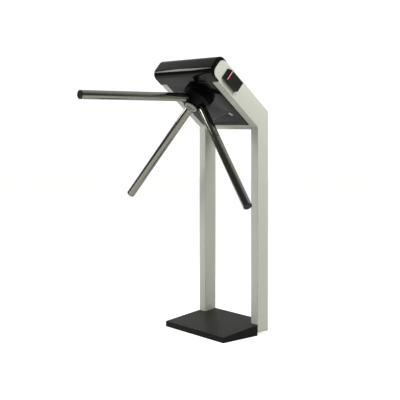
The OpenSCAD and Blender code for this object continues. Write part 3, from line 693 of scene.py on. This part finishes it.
# %% Face sheet and its side returns
def circle_points(radius, at=(0, 0), steps=96):
    return [(at[0] + radius * math.cos(math.tau * k / steps),
             at[1] + radius * math.sin(math.tau * k / steps)) for k in range(steps)]


def sheet_with_holes(name, loops, thickness, rounding):
    curve = bpy.data.curves.new(name, "CURVE")
    curve.dimensions = "2D"
    curve.fill_mode = "BOTH"
    curve.extrude = (thickness / 2 - rounding) * MM
    curve.bevel_depth = rounding * MM
    curve.bevel_resolution = 2
    curve.offset = -rounding * MM
    for loop in loops:
        spline = curve.splines.new("POLY")
        spline.points.add(len(loop) - 1)
        spline.use_cyclic_u = True
        for point, (x, y) in zip(spline.points, loop):
            point.co = (x * MM, y * MM, 0, 1)
    flat_sheet = bpy.data.objects.new(name, curve)
    bpy.context.scene.collection.objects.link(flat_sheet)
    bpy.context.view_layer.update()
    mesh = bpy.data.meshes.new_from_object(flat_sheet)
    bpy.data.objects.remove(flat_sheet)
    shape = bmesh.new()
    shape.from_mesh(mesh)
    bmesh.ops.remove_doubles(shape, verts=shape.verts, dist=1e-6)
    bmesh.ops.scale(shape, vec=(1 / MM,) * 3, verts=shape.verts)
    return shape


DRUM_R = 57.5
LOCK_AT = (90.0, -110.0)
SHEET_LOW = 13 - HUB_S
sheet_x = INNER_X - 0.5
sheet_top = LIP_Y + 2               # tucked 2 mm under the nose
corner_points = [(-sheet_x, SHEET_LOW), (sheet_x, SHEET_LOW), (sheet_x, sheet_top),
                 (-sheet_x, sheet_top)]
shape = sheet_with_holes("face_sheet", [corner_points, circle_points(DRUM_R + 1),
                                        circle_points(8.2, LOCK_AT, 48)], FACE_T, 0.5)
lifted = HEAD @ Matrix.Translation((0, 0, FACE_T / 2 * MM))
settle("face_sheet", shape, face_black, "stand", place=lifted)
shape = bmesh.new()
for x in (-sheet_x, sheet_x - 2):
    prism([(SHEET_LOW + 4, -9), (LIP_Y, -9), (LIP_Y, 0.2), (SHEET_LOW + 4, 0.2)], x, x + 2, shape)
settle("face_sheet_returns", shape, face_black, "stand", place=HEAD)
print("face sheet is", round(2 * sheet_x), "by", round(sheet_top - SHEET_LOW), "mm")

# %% [markdown]
# ## Foot
# The foot is a shallow black wedge, pressed from sheet, with a notch for each leg. Its
# upper edges are rounded over, and that small radius is what draws a thin line of light
# round it. The notches are cut from the wedge first and the edges rounded afterwards, so
# that the radius also runs round the notches.

# %% Foot cover
FOOT_UNDER, FOOT_FRONT, FOOT_REAR, FOOT_WALL = base_low.z / MM, 22.0, base_high.z / MM, 3.0
foot_outline = [(-HALF_D, FOOT_UNDER), (-HALF_D, FOOT_FRONT), (HALF_D, FOOT_REAR),
                (HALF_D, FOOT_UNDER)]
shape = prism(foot_outline, -HALF_W, HALF_W)
foot = settle("foot_cover", shape, foot_black, "stand", ["base_cover"])
notch = FRAME_T + 0.5
notch_box = [(LEG_FRONT - 0.5, -1), (HALF_D + 1, -1), (HALF_D + 1, 60), (LEG_FRONT - 0.5, 60)]
cut(foot, cutter(prism(notch_box, -HALF_W - 1, -HALF_W + notch)))
cut(foot, cutter(prism(notch_box, HALF_W - notch, HALF_W + 1)))
hollow = [(-HALF_D + FOOT_WALL, -1), (-HALF_D + FOOT_WALL, FOOT_FRONT - 3.2),
          (LEG_FRONT - 4, FOOT_FRONT + 12), (LEG_FRONT - 4, -1)]
cut(foot, cutter(prism(hollow, -HALF_W + FOOT_WALL, HALF_W - FOOT_WALL)))
bevelled(foot, 2.4, 4, angle=40)
print("foot cover has", len(foot.data.polygons), "faces before rounding")

# %% [markdown]
# ## Drum, rotor and cap
# A round drum stands out of the face, and the rotor turns on it with a hairline gap
# between them. The rotor is a cone cast in one piece, with a socket bored into its side
# for each arm and a flat nose that holds a bright cap. All three are turned parts, so a
# lathe profile is the honest way to make them. Only the sockets are cut afterwards.

# %% Drum
def turned(name, profile, rounding, finish, body, replaces, steps=128, place=HEAD):
    return settle(name, lathe(rounded_outline(profile, rounding, 4), steps), finish, body,
                  replaces, place)


turned("drum_casting", [(25, -42), (36, -42), (36, -9), (DRUM_R, -9), (DRUM_R, 17), (27.5, 17),
                        (27.5, 2), (25, 2)], [0.3, 1, 1, 0.5, 1.6, 0.3, 0.3, 0.3],
       cast_black, "stand", ["drum_housing"])

# %% [markdown]
# The rotor's profile is a short rim, a long cone and a flat nose with a stepped bore for
# the bolt. The sockets are real holes: an arm that only touched the cone would show a
# gap or a seam. Each one is cut along the same axis that later places its arm.

# %% Rotor with three sockets
ROTOR_Z, NOSE_Z, CAP_R, ARM_R, ARM_IN = 18.0, 62.0, 25.5, 16.0, 32.0
TILT = math.radians(50)


def arm_place(k):
    return (HEAD @ Matrix.Rotation(math.radians(120 * k), 4, "Z")
            @ Matrix.Translation((0, 0, ROOT_Z * MM)) @ Matrix.Rotation(-TILT, 4, "X"))


rotor_profile = [(19, 15.1), (19, ROTOR_Z), (DRUM_R, ROTOR_Z), (DRUM_R, 23.5),
                 (30.7, NOSE_Z - 5.6), (30.5, NOSE_Z), (CAP_R + 0.1, NOSE_Z),
                 (CAP_R + 0.1, NOSE_Z - 4), (11.5, NOSE_Z - 4), (11.5, NOSE_Z - 18),
                 (6.2, NOSE_Z - 18), (6.2, 28), (15, 28), (15, 15.1)]
rotor = turned("rotor_casting", rotor_profile, [0, 0, 1.2, 2.2, 1.0, 0.9, 0.3, 0, 0, 0, 0, 0, 0, 0],
               cast_black, "rotor", ["rotor_hub"])
for k in range(3):
    socket = lathe([(0, ARM_IN), (ARM_R + 0.5, ARM_IN), (ARM_R + 0.5, 120), (0, 120)])
    cut(rotor, cutter(socket, arm_place(k)))
rotor.data.set_sharp_from_angle(angle=math.radians(30))
bevelled(rotor, 0.8, 2, angle=45)
print("rotor casting has", len(rotor.data.polygons), "faces")

# %% [markdown]
# The cap is turned from the solid, with a raised rim, a shallow dish and one fine groove
# in the dish where a security key fits.

# %% Cap
CAP_SEAT, RIM_Z, DISH_Z, GROOVE_Z = NOSE_Z - 4, NOSE_Z + 1.6, NOSE_Z - 1, NOSE_Z - 1.6
turned("turned_cap", [(0, CAP_SEAT), (CAP_R, CAP_SEAT), (CAP_R, RIM_Z), (15.2, RIM_Z),
                      (15, DISH_Z), (12.8, DISH_Z), (12.6, GROOVE_Z), (12.2, GROOVE_Z),
                      (12, DISH_Z), (0, DISH_Z)],
       [0, 0.3, 1.1, 0.5, 0.3, 0.1, 0, 0, 0.1, 0], turned_metal, "rotor", ["hub_cap"])

# %% [markdown]
# ## Arms
# Three stainless tubes leave the rotor at equal angles. Each tube is turned about its own
# length and then placed, so the object's z axis runs along the tube and the drawn lines
# of the finish follow it. The visible end is closed by a black plug with a shallow dish.

# %% Arms and their end plugs
ARM_LEN, ARM_WALL, PLUG = 522.0, 2.0, 3.5
bore = ARM_R - ARM_WALL
for k, label in enumerate(("front", "left", "right")):
    turned(label + "_arm_tube", [(bore, ARM_IN), (ARM_R, ARM_IN), (ARM_R, ARM_LEN - PLUG),
                                 (bore, ARM_LEN - PLUG)], [0.3, 0.5, 0.3, 0.3], bright_tube,
           "rotor", ["arm_" + label], place=arm_place(k))
    turned(label + "_arm_plug", [(0, ARM_LEN - 18), (bore - 0.1, ARM_LEN - 18),
                                 (bore - 0.1, ARM_LEN - PLUG), (ARM_R, ARM_LEN - PLUG),
                                 (ARM_R, ARM_LEN), (11.5, ARM_LEN), (10.5, ARM_LEN - 0.8),
                                 (0, ARM_LEN - 0.8)], [0, 0.5, 0, 0.2, 1.4, 0.4, 0.4, 0],
           black_plastic, "rotor", ["arm_end_caps"], place=arm_place(k))
print("arm tips at", [tuple(round(v, 3) for v in arm_place(k) @ Vector((0, 0, ARM_LEN * MM)))
                      for k in range(3)])

# %% [markdown]
# ## Key lock
# A small nickel-plated cam lock sits low on the face. The barrel is turned. The plug
# with its keyway is already right in the frame and only needs softer edges.

# %% Lock barrel
LOCK_PLACE = HEAD @ Matrix.Translation((LOCK_AT[0] * MM, LOCK_AT[1] * MM, 0))
COLLAR_Z = FACE_T + 2.2
turned("lock_barrel_turned",
       [(6.05, -22), (8, -22), (8, FACE_T), (9.8, FACE_T), (9.8, COLLAR_Z), (6.05, COLLAR_Z)],
       [0, 0.3, 0, 0.2, 0.9, 0.4], slot_finish["nickel"], "stand",
       ["lock_barrel"], steps=64, place=LOCK_PLACE)

# %% [markdown]
# ## Readers
# A proximity reader is fixed to the outside of each side frame, near the top. Its case
# is a low box with one end sloped back, and a light strip lies across it where the slope
# begins. A small step round the case's foot leaves the shadow line that a two-part
# moulding shows.

# %% Readers and their light strips
READER_LEN, READER_W, READER_T, READER_END, STRIP_W = 81.0, 43.0, 18.0, 5.0, 3.5
READER_LOW, READER_IN = -16.5, 23.0  # lower end up the slope, and inset from the face
READER_EDGE = READER_LEN - (READER_T - READER_END) * 0.92


def reader_prism(side, outline, y0, y1):
    """An outline in the reader's length and height, laid on the outside of a frame."""
    shape = prism(outline, y0, y1)
    for vertex in shape.verts:
        over, along, height = vertex.co
        vertex.co = (side * (HALF_W + height), READER_LOW + along, -READER_W - READER_IN + over)
    return shape


case_outline = [(0.6, 0), (0.6, 2), (0, 2.6), (0, READER_T), (READER_EDGE, READER_T),
                (READER_LEN, READER_END), (READER_LEN, 2.6), (READER_LEN - 0.6, 2),
                (READER_LEN - 0.6, 0)]
groove = [(READER_EDGE - 1 - STRIP_W, READER_T - 1), (READER_EDGE - 1, READER_T - 1),
          (READER_EDGE - 1, READER_T + 3), (READER_EDGE - 1 - STRIP_W, READER_T + 3)]
lit = [(u, min(v, READER_T + 0.2)) for u, v in groove]
for label, side in (("left", -1), ("right", 1)):
    case = settle(label + "_reader_case", reader_prism(side, case_outline, 0, READER_W),
                  black_plastic, "stand", [label + "_reader"], HEAD)
    cut(case, cutter(reader_prism(side, groove, 1.5, READER_W - 1.5), HEAD))
    bevelled(case, 1.1, 3, angle=25)
    strip = settle(label + "_reader_strip", reader_prism(side, lit, 1.52, READER_W - 1.52),
                   strip_red, "stand", [label + "_light"], HEAD)
    bevelled(strip, 0.15, 2)
print("readers done")

# %% [markdown]
# ## Parts that stay as they are
# Everything else is hidden inside the head or under the foot: bearings, gears, pawls,
# solenoids, the board. Those solids are already the right shape. They keep their meshes
# and get their slot's finish, and a weld with a small bevel breaks their sharp edges.

# %% Finishes and soft edges for the remaining solids
slots = {row["node"]: row["material_slot"] for row in frame["record"]["subparts"]}
kept = [name for name, solid in nodes.items() if not solid.hide_render]
ROUND_ONLY = {"bearing_balls", "pawl_springs"}
for name in kept:
    solid = nodes[name]
    for holder in solid.material_slots:
        holder.material = slot_finish[slots[name]]
    weld = solid.modifiers.new("weld", "WELD")
    weld.merge_threshold = 0.00001
    if name not in ROUND_ONLY:
        wide = 0.8 if name in ("back_cover", "floor_plate") else 0.25
        bevelled(solid, wide, 2, angle=40)
print(len(kept), "solids kept:", ", ".join(sorted(kept)))

# %% [markdown]
# ## Studio
# The machine stands on a plain pale floor that runs into an even white background, as a
# paper sweep does. The camera sees the sweep as white. Everything else sees the studio
# as it is: bright behind and above the object, dim behind the camera. Black gloss and
# bright tube need that dark side as much as the light one, because they show nothing
# but what is around them.

# %% Floor and background
shape = bmesh.new()
bmesh.ops.create_circle(shape, cap_ends=True, segments=96, radius=9.0)
mesh = bpy.data.meshes.new("studio_floor")
shape.to_mesh(mesh)
shape.free()
floor = bpy.data.objects.new("studio_floor", mesh)
bpy.context.scene.collection.objects.link(floor)
paper, tree, shader = new_material("pale_paper", Roughness=0.9, Specular_IOR_Level=0.1)
fibre = effect(tree, grain, Size_mm=3.0, Mottle_mm=500.0)
tree.links.new(tinted(tree, fibre["Mottle"], (0.54, 0.54, 0.53), (0.58, 0.58, 0.57)),
               shader.inputs["Base Color"])
ray = add(tree, "ShaderNodeLightPath")
tree.links.new(maths(tree, "MULTIPLY", ray.outputs["Is Camera Ray"], 0.85),
               shader.inputs["Emission Strength"])
shader.inputs["Emission Color"].default_value = (1, 1, 1, 1)
mesh.materials.append(paper)

world = bpy.data.worlds.new("studio_air")
bpy.context.scene.world = world
world.use_nodes = True
tree = world.node_tree
tree.nodes.clear()
direction = add(tree, "ShaderNodeTexCoord").outputs["Generated"]
behind = add(tree, "ShaderNodeVectorMath", {0: direction, 1: (-0.45, 0.8, 0.4)},
             operation="DOT_PRODUCT").outputs["Value"]
level = add(tree, "ShaderNodeMapRange", {
    "Value": behind, "From Min": -0.1, "From Max": 0.8, "To Min": 0.05, "To Max": 0.45},
    interpolation_type="SMOOTHSTEP").outputs["Result"]
seen = add(tree, "ShaderNodeLightPath").outputs["Is Camera Ray"]
studio = add(tree, "ShaderNodeBackground", {"Color": (1.0, 0.995, 0.97, 1), "Strength": level})
white = add(tree, "ShaderNodeBackground", {"Color": (1, 1, 1, 1), "Strength": 1.1})
both = add(tree, "ShaderNodeMixShader", {0: seen, 1: studio.outputs[0], 2: white.outputs[0]})
add(tree, "ShaderNodeOutputWorld", {"Surface": both.outputs[0]})
print("floor and background ready")

# %% [markdown]
# Soft boxes do the rest. A large one at the right lights the broad sides of the frames
# and falls off down the legs. One high at the left draws the band of light along the
# nose and a thin line along each arm. A strong one in front lights the front faces of
# the legs, and a cool strip low at the left tints the shaded ones. Only the left box
# shows as a reflection. The others light the paint and stay out of the gloss, where
# they would add bands that a photographer would flag away with black card.

# %% Soft boxes
AIM = Vector((0, 0, 0.75))


def softbox(name, at, size, power, colour, mirrored):
    data = bpy.data.lights.new(name, "AREA")
    data.shape = "RECTANGLE"
    data.size, data.size_y = size
    data.energy = power
    data.color = colour
    lamp = bpy.data.objects.new(name, data)
    lamp.location = at
    lamp.rotation_euler = (AIM - Vector(at)).to_track_quat("-Z", "Y").to_euler()
    lamp.visible_camera = False
    lamp.visible_glossy = mirrored
    bpy.context.scene.collection.objects.link(lamp)


softbox("right_softbox", (1.5, 0.35, 1.85), (1.2, 1.2), 38, (1.0, 0.995, 0.95), mirrored=False)
softbox("left_softbox", (-1.9, -1.4, 1.95), (0.8, 0.8), 10, (1.0, 1.0, 0.97), mirrored=True)
softbox("front_softbox", (-1.3, -2.4, 1.8), (1.0, 1.0), 52, (1.0, 1.0, 0.97), mirrored=False)
softbox("cool_strip", (-1.6, -0.2, 0.9), (0.12, 1.4), 4, (0.72, 0.86, 1.0), mirrored=False)
bpy.context.scene.view_settings.view_transform = "Standard"
